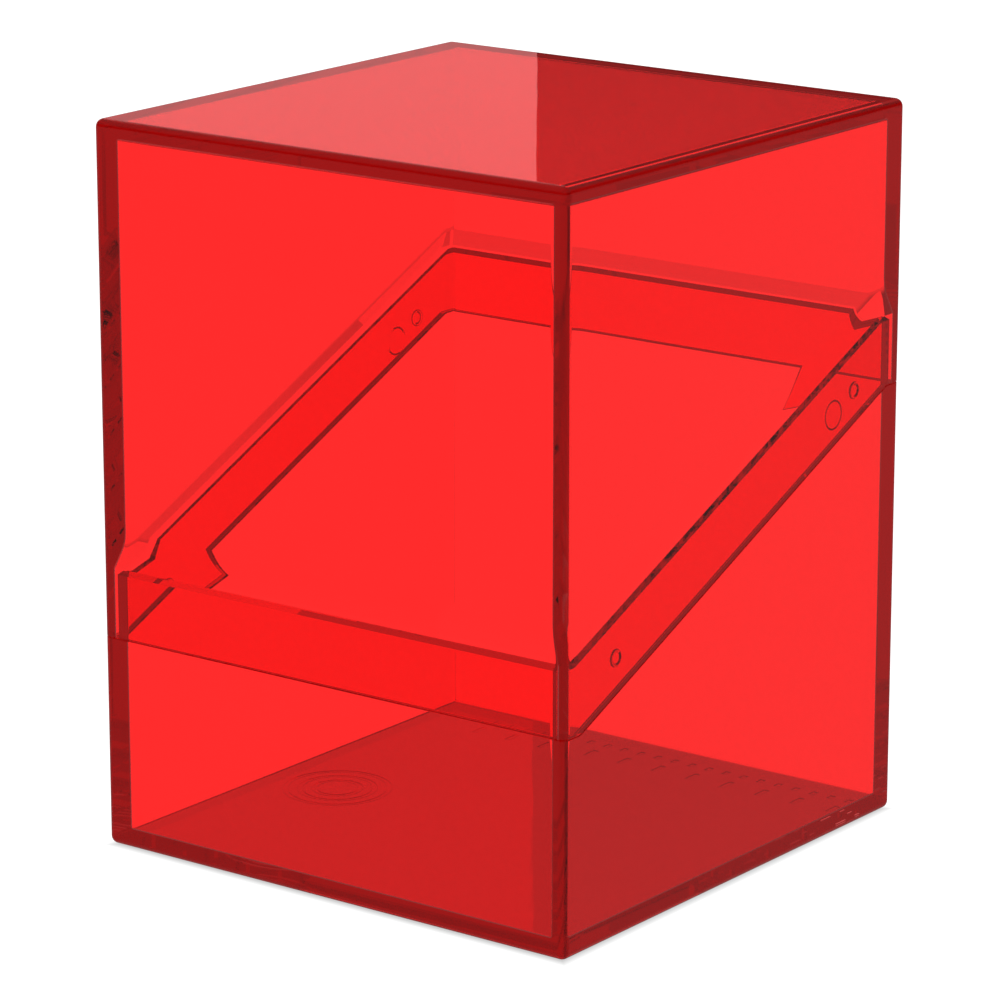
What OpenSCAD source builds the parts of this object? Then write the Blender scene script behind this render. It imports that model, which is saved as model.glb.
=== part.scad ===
// Two-piece deck box for standard trading cards: a base with a slanted rim and a raised
// collar, and a lid whose thin lower wall goes over the collar and lands on the rim.
// Frame: origin under the middle of the floor, +Z up, low front of the base towards -Y.

/* [Body] */
// Outer width, left to right
body_w = 76; // [74:0.5:90]
// Outer depth, front to back
body_d = 76; // [74:0.5:90]
// Outer height with the lid on
body_h = 98.9; // [97:0.1:110]
// Radius of the rounded outer edges
edge_r = 1.1; // [0.6:0.1:1.8]
// Full thickness of the left and right walls
side_wall = 2.9; // [2.6:0.1:3.2]
// Full thickness of the front and back walls
end_wall = 2.25; // [2.15:0.05:3.2]
// Thickness of the base's floor
floor_t = 2.2; // [1.6:0.1:3]
// Thickness of the lid's top
top_t = 2.5; // [1.8:0.1:3]

/* [Rim] */
// Height of the rim along the front
rim_front = 29.1; // [20:0.1:40]
// Height of the rim along the back
rim_back = 60.3; // [45:0.1:70]
// Length of the level stretch of rim at the front and at the back
rim_level = 3.3; // [2.8:0.1:6]
// Radius that blends the level stretches into the slope
rim_blend = 2; // [1:0.5:6]
// Hairline seam between the base's rim and the lid's lower edge
seam = 0.1; // [0.05:0.05:0.2]

/* [Collar] */
// Height of the collar above the rim
collar_h = 9.5; // [6:0.1:14]
// Thickness of the collar
collar_t = 1.1; // [0.9:0.05:1.2]
// Gap between the collar and the lid around it
collar_gap = 0.3; // [0.25:0.05:0.4]
// Height of the lead-in chamfer along the outside of the collar's top
chamfer_h = 0.9; // [0.3:0.1:1.5]
// Width of the collar's flat top, inside the chamfer
land_w = 0.15; // [0.1:0.05:0.4]

/* [Lid rebate] */
// Height above the rim where the lid's thin wall starts to thicken
taper_z = 9.5; // [9:0.1:12]
// Lean of the tapered band, in degrees from upright
taper_angle = 21; // [15:1:25]
// Radius that runs the tapered band into the full wall
taper_r = 7.8; // [4:0.2:9]

/* [Nubs and marks] */
// Radius of a friction nub on the collar
nub_r = 1.2; // [0.8:0.1:1.5]
// Height of a nub above the collar
nub_h = 0.22; // [0.1:0.02:0.25]
// Radius of an ejector mark on the collar
mark_r = 2.1; // [1.5:0.1:2.5]
// Depth of an ejector mark
mark_depth = 0.2; // [0.05:0.01:0.3]
// Width of the groove that rings an ejector mark
mark_line = 0.35; // [0.2:0.05:0.6]

/* [Underside pattern] */
// Depth of the pattern cut into the underside
relief_depth = 0.15; // [0.1:0.05:0.4]
// Width of the lines in the pattern
line_w = 0.8; // [0.5:0.1:1.2]
// Outer radius of the rings
ring_r = 7.6; // [6:0.1:9]

/* [Hidden] */
tint = [0.93, 0.10, 0.12, 0.75];

half_w = body_w / 2;
half_d = body_d / 2;
inner_r = 0.4;
inside_w = body_w - 2 * side_wall;
inside_d = body_d - 2 * end_wall;
collar_room = collar_t + collar_gap;
slope_y = half_d - rim_level;
slope_angle = atan((rim_back - rim_front) / (2 * slope_y));
blend_steps = 8;
reach = 300;
fine = 48;

// Places of the nubs and the ejector mark on each side of the collar: depth, and height above
// the rim there
nubs = [[-26.0, 3.9], [28.0, 3.6]];
mark = [23.2, 3.3];

// Middle of the rings in the underside, and the left end and depth of its two rows of bars
rings_at = [-25, -4];
ring_steps = [0, 2, 4];
bars_left = -25;
bar_rows = [[28.5, 2.6, 11], [32.6, 1.3, 21]];

// Cross-sections of a band round the box, as points of distance outside the inner faces and
// height above the rim: the collar with its chamfer running on inwards, and the room in the lid
chamfer_lean = chamfer_h / (collar_t - land_w);
collar_profile = [
    [collar_t, collar_h - chamfer_h],
    [-side_wall, collar_h - chamfer_h + (collar_t + side_wall) * chamfer_lean]];
arc_in = taper_r * (1 - cos(taper_angle));
arc_z = taper_z + (collar_room - arc_in) / tan(taper_angle);
arc_steps = 4;
room_profile = concat(
    [[collar_room, taper_z]],
    [for (i = [0 : arc_steps])
        let (a = taper_angle * (1 - i / arc_steps))
        [taper_r * (1 - cos(a)), arc_z + taper_r * (sin(taper_angle) - sin(a))]]);

// Height of the rim at depth y
function rim_z(y) = y < -slope_y ? rim_front
    : y > slope_y ? rim_back
    : rim_front + (y + slope_y) * tan(slope_angle);

// Points of an arc of rim_blend that rounds the bend at depth y; side is 1 where the bend is
// hollow and -1 where it is proud
function bend(y, side) =
    let (cut = rim_blend * tan(slope_angle / 2),
         centre = side > 0 ? [y - cut, rim_z(y) + rim_blend] : [y + cut, rim_z(y) - rim_blend],
         first = side > 0 ? 0 : slope_angle)
    [for (i = [0 : blend_steps])
        let (a = first + side * slope_angle * i / blend_steps)
        centre + side * rim_blend * [sin(a), -cos(a)]];

// Outline of all that lies below the rim, raised by lift
module below_rim_outline(lift) {
    translate([0, lift])
    polygon(concat(
        [[-reach, -reach], [-reach, rim_front]],
        bend(-slope_y, 1),
        bend(slope_y, -1),
        [[reach, rim_back], [reach, -reach]]));
}

// Everything below the rim, raised by lift
module below_rim(lift) {
    rotate([90, 0, 90])
    linear_extrude(height = 2 * reach, center = true)
    below_rim_outline(lift);
}

// Rectangle with round corners, about the origin
module rounded_rect(w, d, r) {
    square([w - 2 * r, d], center = true);
    square([w, d - 2 * r], center = true);
    for (x = [-1, 1], y = [-1, 1])
        translate([x * (w / 2 - r), y * (d / 2 - r)])
        circle(r = r, $fn = fine);
}

// Upright column that lies outside the inner faces by the given distance, from z0 to z1
module column(by, z0, z1) {
    translate([0, 0, z0])
    linear_extrude(height = z1 - z0)
    rounded_rect(inside_w + 2 * by, inside_d + 2 * by, inner_r);
}

// Box with all twelve edges rounded, of the given plan, from z0 to z1
module soft_box(w, d, r, z0, z1) {
    h = z1 - z0;
    translate([0, 0, (z0 + z1) / 2])
    intersection() {
        linear_extrude(height = h, center = true)
            rounded_rect(w, d, r);
        rotate([90, 0, 0])
            linear_extrude(height = d, center = true)
            rounded_rect(w, h, r);
        rotate([90, 0, 90])
            linear_extrude(height = w, center = true)
            rounded_rect(d, h, r);
    }
}

// Cross-section, between the side walls, of what a profile encloses; heights are measured
// square to a slope of the given angle
module side_section(profile, angle) {
    polygon(concat(
        [[inside_w / 2 + profile[0].x, -reach]],
        [for (p = profile) [inside_w / 2 + p.x, p.y * cos(angle)]],
        [for (i = [len(profile) - 1 : -1 : 0])
            [-inside_w / 2 - profile[i].x, profile[i].y * cos(angle)]],
        [[-inside_w / 2 - profile[0].x, -reach]]));
}

// What a profile encloses between the side walls, were the rim level at height z
module level_band(profile, z) {
    translate([0, 0, z])
    rotate([90, 0, 0])
    linear_extrude(height = 2 * reach, center = true)
    side_section(profile, 0);
}

// What a profile encloses between the side walls, along the level and the sloping rim
module between_sides(profile) {
    level_band(profile, rim_front);
    intersection() {
        level_band(profile, rim_back);
        translate([0, 0, (rim_front + rim_back) / 2])
            rotate([90 + slope_angle, 0, 0])
            linear_extrude(height = 2 * reach, center = true)
            side_section(profile, slope_angle);
    }
}

// What a profile encloses between the front and the back wall
module between_ends(profile) {
    last = profile[len(profile) - 1].x;
    rotate([90, 0, 90])
    linear_extrude(height = 2 * reach, center = true)
    polygon(concat(
        [[-inside_d / 2 - profile[0].x, -reach]],
        [for (p = profile) [-inside_d / 2 - p.x, rim_front + p.y]],
        [[-inside_d / 2 - last, body_h], [inside_d / 2 + last, body_h]],
        [for (i = [len(profile) - 1 : -1 : 0])
            [inside_d / 2 + profile[i].x, rim_back + profile[i].y]],
        [[inside_d / 2 + profile[0].x, -reach]]));
}

// Puts a feature on the outside of the collar's right (1) or left (-1) side, with its own +Z
// pointing outwards; place is its depth and its height above the rim
module on_collar(side, place) {
    translate([side * (inside_w / 2 + collar_t), place.x, rim_z(place.x) + place.y])
    rotate([0, side * 90, 0])
    children();
}

// Low flat-topped nub with a sloping edge, rooted in the collar
module nub() {
    translate([0, 0, -collar_t / 2])
        cylinder(r = nub_r, h = collar_t / 2, $fn = fine);
    cylinder(r1 = nub_r, r2 = nub_r - nub_h, h = nub_h, $fn = fine);
}

// Shallow groove in a ring that an ejector pin leaves
module ejector_mark() {
    difference() {
        cylinder(r = mark_r, h = 2 * mark_depth, center = true, $fn = fine);
        cylinder(r = mark_r - mark_line, h = 1, center = true, $fn = fine);
    }
}

// Rings cut into the underside
module rings() {
    translate([rings_at.x, rings_at.y, 0])
    for (step = ring_steps)
        difference() {
            cylinder(r = ring_r - step, h = 2 * relief_depth, center = true, $fn = fine);
            cylinder(r = ring_r - step - line_w, h = 1, center = true, $fn = fine);
        }
}

// Two rows of plain bars cut into the underside
module bars() {
    for (row = bar_rows, i = [0 : row[2] - 1])
        translate([bars_left + i * 58 / (row[2] - 1), row[0], 0])
        cube([line_w, row[1], 2 * relief_depth], center = true);
}

module base() {
    color(tint)
    difference() {
        union() {
            intersection() {
                soft_box(body_w, body_d, edge_r, 0, body_h);
                below_rim(0);
            }
            intersection() {
                column(collar_t, floor_t, body_h);
                below_rim(collar_h);
                between_sides(collar_profile);
                between_ends(collar_profile);
            }
            for (side = [-1, 1], place = nubs)
                on_collar(side, place) nub();
        }
        soft_box(inside_w, inside_d, inner_r, floor_t, 2 * body_h);
        for (side = [-1, 1])
            on_collar(side, mark) ejector_mark();
        rings();
        bars();
    }
}

module lid() {
    color(tint)
    difference() {
        soft_box(body_w, body_d, edge_r, 0, body_h);
        below_rim(seam);
        soft_box(inside_w, inside_d, inner_r, -body_h, body_h - top_t);
        intersection() {
            column(collar_room, 0, body_h);
            between_sides(room_profile);
            between_ends(room_profile);
        }
    }
}

base();
lid();
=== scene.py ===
"""Looks of a clear red deck box for trading cards: two glossy mouldings, a base and a lid.

Both pieces are closed shells lofted from loops that follow the walls round the box. A loop has
an inset from the outer faces, a corner radius, and a height that may follow the slanted rim.
Lengths are in millimetres until a mesh is made.
"""

import math

import bmesh
import bpy
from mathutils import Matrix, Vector


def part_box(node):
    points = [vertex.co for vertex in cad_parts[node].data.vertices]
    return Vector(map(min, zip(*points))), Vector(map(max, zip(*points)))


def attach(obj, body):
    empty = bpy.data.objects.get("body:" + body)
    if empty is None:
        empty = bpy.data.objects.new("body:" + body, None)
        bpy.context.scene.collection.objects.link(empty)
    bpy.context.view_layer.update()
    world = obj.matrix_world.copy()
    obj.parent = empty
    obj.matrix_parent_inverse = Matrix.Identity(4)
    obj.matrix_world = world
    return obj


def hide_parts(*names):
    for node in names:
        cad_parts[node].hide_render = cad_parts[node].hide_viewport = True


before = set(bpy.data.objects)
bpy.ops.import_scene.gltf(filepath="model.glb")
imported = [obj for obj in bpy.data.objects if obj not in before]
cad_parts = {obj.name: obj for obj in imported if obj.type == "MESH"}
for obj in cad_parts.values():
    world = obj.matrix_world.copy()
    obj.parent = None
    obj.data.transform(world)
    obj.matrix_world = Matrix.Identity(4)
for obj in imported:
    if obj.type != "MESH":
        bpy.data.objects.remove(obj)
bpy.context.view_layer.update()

MM = 0.001

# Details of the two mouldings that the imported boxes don't give
EDGE_R = 1.1
SIDE_WALL = 2.9
END_WALL = 2.25
FLOOR_T = 2.2
TOP_T = 2.5
COLLAR_H = 9.5
COLLAR_T = 1.1
COLLAR_GAP = 0.3
CHAMFER_H = 0.9
LAND_W = 0.15
SEAM = 0.1
RIM_LEVEL = 3.3
RIM_BLEND = 2.0
INNER_R = 0.4
TAPER_Z = 9.5
TAPER_ANGLE = math.radians(21)
TAPER_R = 7.8
MICRO_R = 0.08
INNER_FILLET = 0.4

# Round features on each side of the collar: depth, and height above the rim there
NUBS = ((-26.0, 3.9), (28.0, 3.6))
NUB_R = 1.2
NUB_H = 0.22
EJECTOR_MARK = (23.2, 3.3)
MARK_R = 2.1
MARK_DEPTH = 0.2
MARK_LINE = 0.35
NUB_RIM = 0.5
CUT_PAST = 0.05

# The pattern in the underside: rings, and two rows of bars (depth, length, count)
RELIEF = 0.15
LINE_W = 0.8
LINE_DRAFT = 0.03
RINGS_AT = (-25.0, -4.0)
RING_RADII = (7.6, 5.6, 3.6)
BARS_LEFT = -25.0
BARS_SPAN = 58.0
BAR_ROWS = ((28.5, 2.6, 11), (32.6, 1.3, 21))

# Sizes read from the frame
base_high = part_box("base")[1]
lid_low, lid_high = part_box("lid")
HALF_W = (lid_high.x - lid_low.x) / 2 / MM
HALF_D = (lid_high.y - lid_low.y) / 2 / MM
HEIGHT = lid_high.z / MM
RIM_FRONT = lid_low.z / MM - SEAM
RIM_BACK = base_high.z / MM - COLLAR_H
SLOPE_Y = HALF_D - RIM_LEVEL
SLOPE = math.atan2(RIM_BACK - RIM_FRONT, 2 * SLOPE_Y)
BEND_CUT = RIM_BLEND * math.tan(SLOPE / 2)

CORNER_STEPS = 10
FILLET_STEPS = 6
BEND_STEPS = 8
ARC_STEPS = 10
ROUND_STEPS = 32
SHARP_ANGLE = math.radians(17)
MERGE_M = 1e-7
LEAST_R = 0.01

# The plastic: clear red, with faint waviness from the mould and faint handling wear
PLASTIC_COLOUR = (1.0, 0.145, 0.145, 1)
PLASTIC_INDEX = 1.5
PASSED_COLOUR = (0.98, 0.0, 0.0, 1)
PASSED_DENSITY = 60.0
FLOW_SCALE = 45.0
FLOW_STRENGTH = 0.25
FLOW_DEPTH_M = 0.00003
WEAR_SCALE = 260.0
WEAR_SPAN = (0.62, 0.8)
WEAR_ROUGHNESS = 0.02

# Strengths of the surroundings by the way that light took. They are chosen to give the look
# and don't stand for real lamps.
SEEN_THROUGH = 1.22
# Painted shadow: the floor's strength under the box
PAINTED_SHADOW_UNDER_BOX = 0.62
SEEN_ABOVE = 0.3
GUIDED = 0.38
MIRRORED_INSIDE = 0.3
MIRRORED_FLOOR = 0.2
MIRRORED_SKY = 0.035
MIRRORED_OVERHEAD = 0.2
PANEL = 0.78
# Painted pink for the panel's mirror image only
PANEL_TINT = (1.0, 0.4, 0.4, 1)
LIGHT_BOUNCES = 96

# Studio sizes, in metres
FLOOR_SIZE = 60
FLOOR_DROP = 0.0002
PANEL_W = 1.4
PANEL_H = 1.2
PANEL_BASE_Z = 0.15
PANEL_DISTANCE = 2.0
PANEL_TURN = math.radians(0.45)

CAMERA_AZIMUTH = math.radians(36.96)
CAMERA_ELEVATION = math.radians(15.108)
CAMERA_DISTANCE = 0.6353
CAMERA_AIM = Vector((-0.0004, -0.0003, 0.0458))
CAMERA_LENS = 171.13


def rim_z(y):
    """Height of the rim at depth y, with its two bends rounded."""
    if y <= -SLOPE_Y - BEND_CUT:
        return RIM_FRONT
    if y >= SLOPE_Y + BEND_CUT:
        return RIM_BACK
    if y < -SLOPE_Y + BEND_CUT * math.cos(SLOPE):
        run = y + SLOPE_Y + BEND_CUT
        return RIM_FRONT + RIM_BLEND - math.sqrt(RIM_BLEND**2 - run**2)
    if y > SLOPE_Y - BEND_CUT * math.cos(SLOPE):
        run = SLOPE_Y + BEND_CUT - y
        return RIM_BACK - RIM_BLEND + math.sqrt(RIM_BLEND**2 - run**2)
    return RIM_FRONT + (y + SLOPE_Y) * math.tan(SLOPE)


def bend_depths():
    """Depths of the points along a side wall, from the front to the back."""
    front = []
    for i in range(BEND_STEPS + 1):
        angle = SLOPE * i / BEND_STEPS
        front.append(-SLOPE_Y - BEND_CUT + RIM_BLEND * math.sin(angle))
    return front + [-y for y in reversed(front)]


def quarter(steps=FILLET_STEPS):
    """(sine, cosine) along a quarter turn."""
    return [
        (math.sin(math.pi / 2 * i / steps), math.cos(math.pi / 2 * i / steps))
        for i in range(steps + 1)
    ]


def plan(inset, radius):
    """Points of one loop seen from above, anticlockwise from the front right corner.

    inset is the distance from the outer faces, at the sides and at the ends.
    """
    x_face = HALF_W - inset[0]
    x_mid = x_face - radius
    y_mid = HALF_D - inset[1] - radius
    sides = [max(min(y, y_mid), -y_mid) for y in bend_depths()]
    points = []
    corners = [(1, -1, -90), (1, 1, 0), (-1, 1, 90), (-1, -1, 180)]
    for sx, sy, start in corners:
        for i in range(CORNER_STEPS + 1):
            angle = math.radians(start + 90 * i / CORNER_STEPS)
            points.append(
                (sx * x_mid + radius * math.cos(angle), sy * y_mid + radius * math.sin(angle))
            )
        if (sx, sy) == (1, -1):
            points += [(x_face, y) for y in sides]
        if (sx, sy) == (-1, 1):
            points += [(-x_face, y) for y in reversed(sides)]
    return points


def level(inset, radius, z):
    """A loop at one height."""
    return [(x, y, z) for x, y in plan(inset, radius)]


def along_rim(inset, radius, above):
    """A loop at a fixed distance above the rim."""
    return [(x, y, rim_z(y) + above) for x, y in plan(inset, radius)]


def skin(inset):
    """Inset and corner radius of a loop just inside the outer faces."""
    return (inset, inset), EDGE_R - inset


def around_inside(by):
    """Inset and corner radius of a loop that far outside the inner faces of the walls."""
    return (SIDE_WALL - by, END_WALL - by), INNER_R


def add_shell(mesh_builder, loops, ring=False):
    """A closed shell: the loops joined in order; a ring joins the last one to the first."""
    rings = [[mesh_builder.verts.new(Vector(p) * MM) for p in loop] for loop in loops]
    pairs = list(zip(rings, rings[1:]))
    if ring:
        pairs.append((rings[-1], rings[0]))
    else:
        mesh_builder.faces.new(list(reversed(rings[0])))
        mesh_builder.faces.new(rings[-1])
    for lower, upper in pairs:
        for i in range(len(lower)):
            j = (i + 1) % len(lower)
            mesh_builder.faces.new((lower[i], lower[j], upper[j], upper[i]))


def finish_mesh(name, mesh_builder):
    """An object made of the shells."""
    bmesh.ops.remove_doubles(mesh_builder, verts=mesh_builder.verts, dist=MERGE_M)
    bmesh.ops.dissolve_degenerate(mesh_builder, edges=mesh_builder.edges, dist=MERGE_M)
    bmesh.ops.recalc_face_normals(mesh_builder, faces=mesh_builder.faces)
    for face in mesh_builder.faces:
        face.smooth = True
    mesh = bpy.data.meshes.new(name)
    mesh_builder.to_mesh(mesh)
    mesh_builder.free()
    piece = bpy.data.objects.new(name, mesh)
    bpy.context.scene.collection.objects.link(piece)
    return piece


def loft(name, loops):
    """One closed shell as an object."""
    mesh_builder = bmesh.new()
    add_shell(mesh_builder, loops)
    return finish_mesh(name, mesh_builder)


def combine(piece, tool, operation):
    """Joins the tool's shape to the piece, or cuts it away."""
    modifier = piece.modifiers.new("combine", "BOOLEAN")
    modifier.operation = operation
    modifier.solver = "EXACT"
    modifier.object = tool
    bpy.context.view_layer.update()
    shaped = piece.evaluated_get(bpy.context.evaluated_depsgraph_get())
    mesh = bpy.data.meshes.new_from_object(shaped)
    piece.modifiers.clear()
    piece.data = mesh
    bpy.data.objects.remove(tool)
    for face in mesh.polygons:
        face.use_smooth = True


def circle(radius, steps=ROUND_STEPS):
    """Points of a circle, as (cosine, sine) times the radius."""
    turn = 2 * math.pi / steps
    return [(radius * math.cos(turn * i), radius * math.sin(turn * i)) for i in range(steps)]


def on_collar(side, place, steps):
    """Loops of a round feature on a side of the collar, from (outward, radius) steps."""
    depth, above = place
    face = HALF_W - SIDE_WALL + COLLAR_T
    z = rim_z(depth) + above
    return [
        [(side * (face + out), depth + u, z + v) for u, v in circle(radius)]
        for out, radius in steps
    ]


def flat_circle(middle, radius, z):
    """A level circular loop."""
    return [(middle[0] + u, middle[1] + v, z) for u, v in circle(radius, 2 * ROUND_STEPS)]


def weigh_normals(piece):
    """Flat faces stay flat and only the fillets between them shade smoothly."""
    piece.data.set_sharp_from_angle(angle=SHARP_ANGLE)
    modifier = piece.modifiers.new("flat_faces", "WEIGHTED_NORMAL")
    modifier.mode = "FACE_AREA"
    modifier.weight = 50
    modifier.keep_sharp = True


def base_loops():
    """From the middle of the underside, round the outside, over the collar, to the floor."""
    loops = []
    for s, c in quarter():
        loops.append(level(*skin(EDGE_R - EDGE_R * s), EDGE_R - EDGE_R * c))
    for s, c in quarter():
        loops.append(along_rim(*skin(MICRO_R - MICRO_R * c), MICRO_R * s - MICRO_R))
    for s, c in quarter():
        by = COLLAR_T + MICRO_R - MICRO_R * s
        loops.append(along_rim(*around_inside(by), MICRO_R - MICRO_R * c))
    loops.append(along_rim(*around_inside(COLLAR_T), COLLAR_H - CHAMFER_H))
    loops.append(along_rim(*around_inside(LAND_W), COLLAR_H))
    loops.append(along_rim(*around_inside(0), COLLAR_H))
    loops += corner_fillet(FLOOR_T, 1)
    return loops


def taper_loops():
    """The lid's tapered band: a straight slope, then an arc that runs into the full wall."""
    room = COLLAR_T + COLLAR_GAP
    arc_depth = TAPER_R - TAPER_R * math.cos(TAPER_ANGLE)
    bend_z = TAPER_Z + (room - arc_depth) / math.tan(TAPER_ANGLE)
    loops = [along_rim(*around_inside(room), TAPER_Z)]
    for i in range(ARC_STEPS + 1):
        angle = TAPER_ANGLE * (1 - i / ARC_STEPS)
        by = TAPER_R - TAPER_R * math.cos(angle)
        rise = TAPER_R * (math.sin(TAPER_ANGLE) - math.sin(angle))
        loops.append(along_rim(*around_inside(by), bend_z + rise))
    return loops


def corner_fillet(z, up):
    """Where the inside of the walls runs into the floor (up is 1) or the ceiling (-1)."""
    loops = []
    for s, c in quarter():
        inset = INNER_FILLET - INNER_FILLET * c
        rise = INNER_FILLET - INNER_FILLET * s
        walls = (SIDE_WALL + inset, END_WALL + inset)
        loops.append(level(walls, max(INNER_R - inset, LEAST_R), z + up * rise))
    return loops


def lid_loops():
    """From the middle of the top, down the outside, round the thin edge, up to the ceiling."""
    loops = []
    for s, c in quarter():
        loops.append(level(*skin(EDGE_R - EDGE_R * s), HEIGHT - EDGE_R + EDGE_R * c))
    for s, c in quarter():
        loops.append(along_rim(*skin(MICRO_R - MICRO_R * c), SEAM + MICRO_R - MICRO_R * s))
    for s, c in quarter():
        by = COLLAR_T + COLLAR_GAP + MICRO_R - MICRO_R * s
        loops.append(along_rim(*around_inside(by), SEAM + MICRO_R - MICRO_R * c))
    loops += taper_loops()
    loops += corner_fillet(HEIGHT - TOP_T, -1)
    return loops


def blend(nodes, links, factor, low, high):
    """low where the factor is 0 and high where it is 1; each is a number or a socket."""
    mix = nodes.new("ShaderNodeMix")
    links.new(factor, mix.inputs["Factor"])
    for socket, value in (("A", low), ("B", high)):
        if isinstance(value, float):
            mix.inputs[socket].default_value = value
        else:
            links.new(value, mix.inputs[socket])
    return mix.outputs["Result"]


def ramp(nodes, links, value, start, end):
    """0 up to start and 1 from end on."""
    span = nodes.new("ShaderNodeMapRange")
    span.inputs["From Min"].default_value = start
    span.inputs["From Max"].default_value = end
    links.new(value, span.inputs["Value"])
    return span.outputs["Result"]


def red_plastic(name, seed):
    """Polished clear red moulding with the faintest flow waviness and handling marks."""
    material = bpy.data.materials.new(name)
    material.use_nodes = True
    nodes = material.node_tree.nodes
    links = material.node_tree.links
    shader = nodes["Principled BSDF"]
    shader.inputs["Base Color"].default_value = PLASTIC_COLOUR
    shader.inputs["Transmission Weight"].default_value = 1.0
    shader.inputs["IOR"].default_value = PLASTIC_INDEX
    coords = nodes.new("ShaderNodeTexCoord")
    shift = nodes.new("ShaderNodeVectorMath")
    shift.inputs[1].default_value = (seed, 2 * seed, 3 * seed)
    links.new(coords.outputs["Object"], shift.inputs[0])
    flow = nodes.new("ShaderNodeTexNoise")
    flow.inputs["Scale"].default_value = FLOW_SCALE
    flow.inputs["Detail"].default_value = 2.0
    links.new(shift.outputs["Vector"], flow.inputs["Vector"])
    bump = nodes.new("ShaderNodeBump")
    bump.inputs["Strength"].default_value = FLOW_STRENGTH
    bump.inputs["Distance"].default_value = FLOW_DEPTH_M
    links.new(flow.outputs[0], bump.inputs["Height"])
    links.new(bump.outputs["Normal"], shader.inputs["Normal"])
    handling = nodes.new("ShaderNodeTexNoise")
    handling.inputs["Scale"].default_value = WEAR_SCALE
    handling.inputs["Detail"].default_value = 5.0
    links.new(shift.outputs["Vector"], handling.inputs["Vector"])
    wear = ramp(nodes, links, handling.outputs[0], *WEAR_SPAN)
    roughness = blend(nodes, links, wear, 0.0, WEAR_ROUGHNESS)
    links.new(roughness, shader.inputs["Roughness"])
    volume = nodes.new("ShaderNodeVolumeAbsorption")
    volume.inputs["Color"].default_value = PASSED_COLOUR
    volume.inputs["Density"].default_value = PASSED_DENSITY
    output = nodes["Material Output"]
    links.new(volume.outputs["Volume"], output.inputs["Volume"])
    return material


def plane(name, centre, width, height, facing):
    """A flat rectangle that faces along facing, upright where that is level."""
    mesh = bpy.data.meshes.new(name)
    w, h = width / 2, height / 2
    mesh.from_pydata([(-w, -h, 0), (w, -h, 0), (w, h, 0), (-w, h, 0)], [], [(0, 1, 2, 3)])
    card = bpy.data.objects.new(name, mesh)
    card.rotation_euler = Vector(facing).to_track_quat("Z", "Y").to_euler()
    card.location = centre
    bpy.context.scene.collection.objects.link(card)
    return card


def by_path(nodes, links, straight, outside, inside):
    """Strength for light that came straight through, or was mirrored on its way.

    outside is for a mirror image on an outer face and inside for one within the box; light
    that was mirrored more than once ran along a wall.
    """
    path = nodes.new("ShaderNodeLightPath")
    mirrors = path.outputs["Glossy Depth"]
    entered = ramp(nodes, links, path.outputs["Transmission Depth"], 0.0, 1.0)
    mirrored = blend(nodes, links, entered, outside, inside)
    once = blend(nodes, links, ramp(nodes, links, mirrors, 0.0, 1.0), straight, mirrored)
    return blend(nodes, links, ramp(nodes, links, mirrors, 1.0, 2.0), once, GUIDED)


def studio_floor():
    """A plain white floor, with a painted shadow under the box, and dimmer as a reflection."""
    floor = plane("studio_floor", (0, 0, -FLOOR_DROP), FLOOR_SIZE, FLOOR_SIZE, (0, 0, 1))
    material = bpy.data.materials.new("floor_white")
    material.use_nodes = True
    nodes, links = material.node_tree.nodes, material.node_tree.links
    nodes.clear()
    coords = nodes.new("ShaderNodeTexCoord")
    outline = nodes.new("ShaderNodeVectorMath")
    outline.operation = "ABSOLUTE"
    links.new(coords.outputs["Object"], outline.inputs[0])
    split = nodes.new("ShaderNodeSeparateXYZ")
    links.new(outline.outputs["Vector"], split.inputs["Vector"])
    furthest = nodes.new("ShaderNodeMath")
    furthest.operation = "MAXIMUM"
    links.new(split.outputs["X"], furthest.inputs[0])
    links.new(split.outputs["Y"], furthest.inputs[1])
    # The floor glows dimmer within the box's outline: a painted shadow under the box.
    outside = ramp(nodes, links, furthest.outputs["Value"], (HALF_W - 1) * MM, (HALF_W + 1) * MM)
    straight = blend(nodes, links, outside, PAINTED_SHADOW_UNDER_BOX, SEEN_THROUGH)
    glow = nodes.new("ShaderNodeEmission")
    strength = by_path(nodes, links, straight, MIRRORED_FLOOR, MIRRORED_INSIDE)
    links.new(strength, glow.inputs["Strength"])
    output = nodes.new("ShaderNodeOutputMaterial")
    links.new(glow.outputs["Emission"], output.inputs["Surface"])
    floor.data.materials.append(material)


def studio_world():
    """White to the camera and behind the box; dimmer high up and in mirror images."""
    world = bpy.data.worlds.new("studio")
    bpy.context.scene.world = world
    world.use_nodes = True
    nodes, links = world.node_tree.nodes, world.node_tree.links
    nodes.clear()
    coords = nodes.new("ShaderNodeTexCoord")
    split = nodes.new("ShaderNodeSeparateXYZ")
    links.new(coords.outputs["Generated"], split.inputs["Vector"])
    up = split.outputs["Z"]
    above = ramp(nodes, links, up, math.sin(math.radians(2)), math.sin(math.radians(8)))
    overhead = ramp(nodes, links, up, math.sin(math.radians(20)), math.sin(math.radians(35)))
    sky = blend(nodes, links, above, MIRRORED_FLOOR, MIRRORED_SKY)
    outside = blend(nodes, links, overhead, sky, MIRRORED_OVERHEAD)
    background = nodes.new("ShaderNodeBackground")
    straight = blend(nodes, links, above, SEEN_THROUGH, SEEN_ABOVE)
    strength = by_path(nodes, links, straight, outside, MIRRORED_INSIDE)
    path = nodes.new("ShaderNodeLightPath")
    backdrop = blend(nodes, links, path.outputs["Is Camera Ray"], strength, SEEN_THROUGH)
    links.new(backdrop, background.inputs["Strength"])
    output = nodes.new("ShaderNodeOutputWorld")
    links.new(background.outputs["Background"], output.inputs["Surface"])


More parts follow.
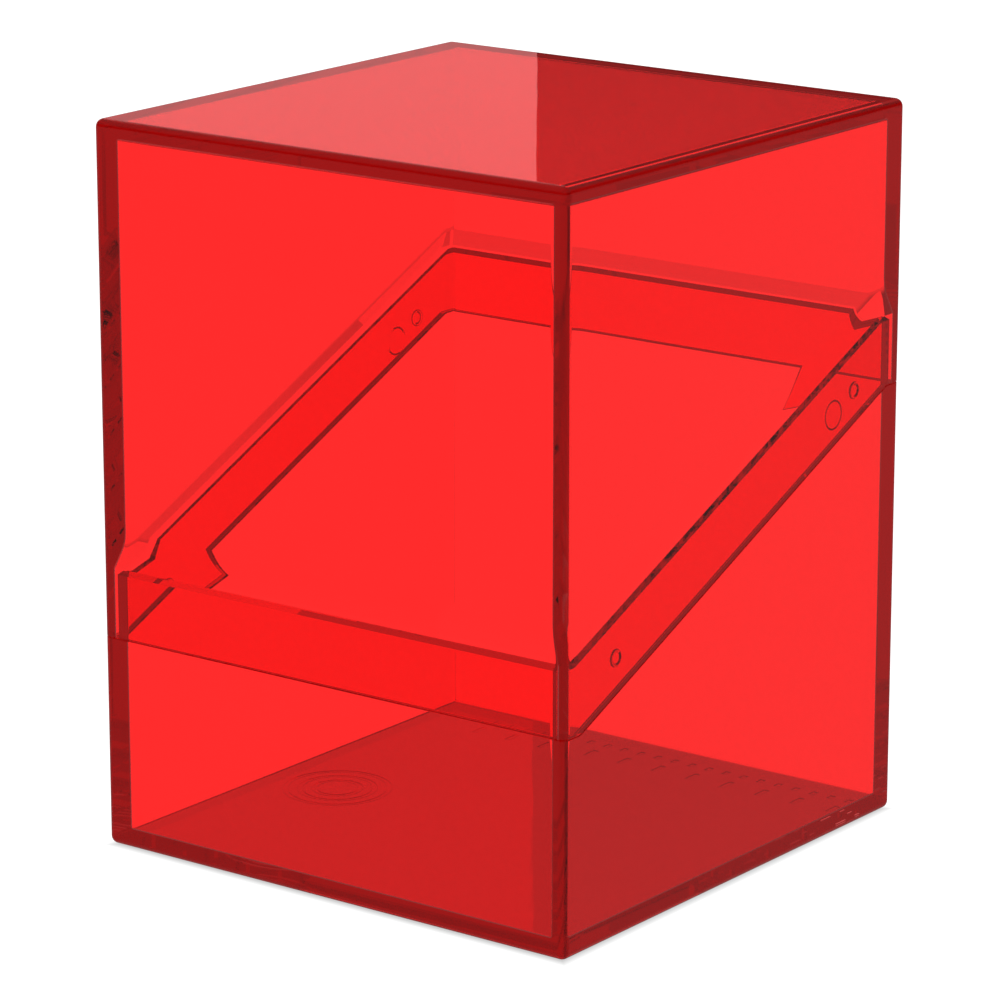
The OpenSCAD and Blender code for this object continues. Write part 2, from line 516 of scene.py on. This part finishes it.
def studio_camera():
    """A long lens above the box's top, looking down a little at its front right edge."""
    data = bpy.data.cameras.new("camera")
    data.lens = CAMERA_LENS
    data.sensor_width = 36
    data.clip_start = 0.01
    camera = bpy.data.objects.new("camera", data)
    level_cos = math.cos(CAMERA_ELEVATION)
    back = Vector(
        (
            math.sin(CAMERA_AZIMUTH) * level_cos,
            -math.cos(CAMERA_AZIMUTH) * level_cos,
            math.sin(CAMERA_ELEVATION),
        )
    )
    camera.location = CAMERA_AIM + back * CAMERA_DISTANCE
    camera.rotation_euler = back.to_track_quat("Z", "Y").to_euler()
    bpy.context.scene.collection.objects.link(camera)
    bpy.context.scene.camera = camera
    return camera


def soft_panel(camera):
    """An upright light panel behind the box, mirrored in the left half of its top."""
    heading = CAMERA_AZIMUTH - PANEL_TURN
    ahead = Vector((-math.sin(heading), math.cos(heading), 0))
    left = Vector((-ahead.y, ahead.x, 0))
    edge = Vector((camera.location.x, camera.location.y, 0)) + ahead * PANEL_DISTANCE
    centre = edge + left * PANEL_W / 2 + Vector((0, 0, PANEL_BASE_Z + PANEL_H / 2))
    panel = plane("soft_panel", centre, PANEL_W, PANEL_H, -ahead)
    material = bpy.data.materials.new("panel_light")
    material.use_nodes = True
    nodes, links = material.node_tree.nodes, material.node_tree.links
    nodes.clear()
    glow = nodes.new("ShaderNodeEmission")
    path = nodes.new("ShaderNodeLightPath")
    mirrors = ramp(nodes, links, path.outputs["Glossy Depth"], 0.0, 1.0)
    # The panel's mirror image is painted pink; to other rays it stays white.
    tint = nodes.new("ShaderNodeMix")
    tint.data_type = "RGBA"
    tint.inputs["A"].default_value = (1, 1, 1, 1)
    tint.inputs["B"].default_value = PANEL_TINT
    links.new(mirrors, tint.inputs["Factor"])
    links.new(tint.outputs["Result"], glow.inputs["Color"])
    links.new(by_path(nodes, links, SEEN_THROUGH, PANEL, PANEL), glow.inputs["Strength"])
    output = nodes.new("ShaderNodeOutputMaterial")
    links.new(glow.outputs["Emission"], output.inputs["Surface"])
    panel.data.materials.append(material)
    panel.visible_camera = False


def nubs():
    """Two low nubs with dished tops on each side of the collar."""
    steps = [(-COLLAR_T / 2, NUB_R)]
    steps += [(NUB_H * s, NUB_R - NUB_H + NUB_H * c) for s, c in quarter()]
    steps += [(NUB_H * 0.3, NUB_R - NUB_RIM), (NUB_H * 0.2, NUB_R * 0.3)]
    mesh_builder = bmesh.new()
    for side in (-1, 1):
        for place in NUBS:
            add_shell(mesh_builder, on_collar(side, place, steps))
    return finish_mesh("nubs", mesh_builder)


def cuts():
    """The ring grooves of the ejector marks, and the pattern in the underside."""
    middle = MARK_R - MARK_LINE / 2
    half = MARK_LINE / 2
    steps = [(CUT_PAST, middle + half), (-MARK_DEPTH, middle), (CUT_PAST, middle - half)]
    mesh_builder = bmesh.new()
    for side in (-1, 1):
        add_shell(mesh_builder, on_collar(side, EJECTOR_MARK, steps), ring=True)
    low, high = -RELIEF, RELIEF
    for outer in RING_RADII:
        inner = outer - LINE_W
        loops = [
            flat_circle(RINGS_AT, outer, low),
            flat_circle(RINGS_AT, outer - LINE_DRAFT, high),
            flat_circle(RINGS_AT, inner + LINE_DRAFT, high),
            flat_circle(RINGS_AT, inner, low),
        ]
        add_shell(mesh_builder, loops, ring=True)
    for y, length, count in BAR_ROWS:
        for i in range(count):
            x = BARS_LEFT + BARS_SPAN * i / (count - 1)
            w, d = LINE_W / 2, length / 2
            corners = ((-w, -d), (w, -d), (w, d), (-w, d))
            loops = [[(x + u, y + v, z) for u, v in corners] for z in (low, high)]
            add_shell(mesh_builder, loops)
    return finish_mesh("cuts", mesh_builder)


def make_box():
    """Both mouldings, each riding with its own body and taking that body's place."""
    base = loft("deck_box_base", base_loops())
    lid = loft("deck_box_lid", lid_loops())
    combine(base, nubs(), "UNION")
    combine(base, cuts(), "DIFFERENCE")
    base.data.materials.append(red_plastic("base_plastic", 1))
    lid.data.materials.append(red_plastic("lid_plastic", 2))
    for piece, node in ((base, "base"), (lid, "lid")):
        weigh_normals(piece)
        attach(piece, node)
        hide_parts(node)


def settings():
    """Plain colours, and enough bounces for light that runs along a wall."""
    scene = bpy.context.scene
    scene.view_settings.view_transform = "Standard"
    scene.cycles.max_bounces = LIGHT_BOUNCES
    scene.cycles.transmission_bounces = LIGHT_BOUNCES
    scene.cycles.glossy_bounces = LIGHT_BOUNCES


settings()
view_camera = studio_camera()
studio_world()
studio_floor()
soft_panel(view_camera)
make_box()
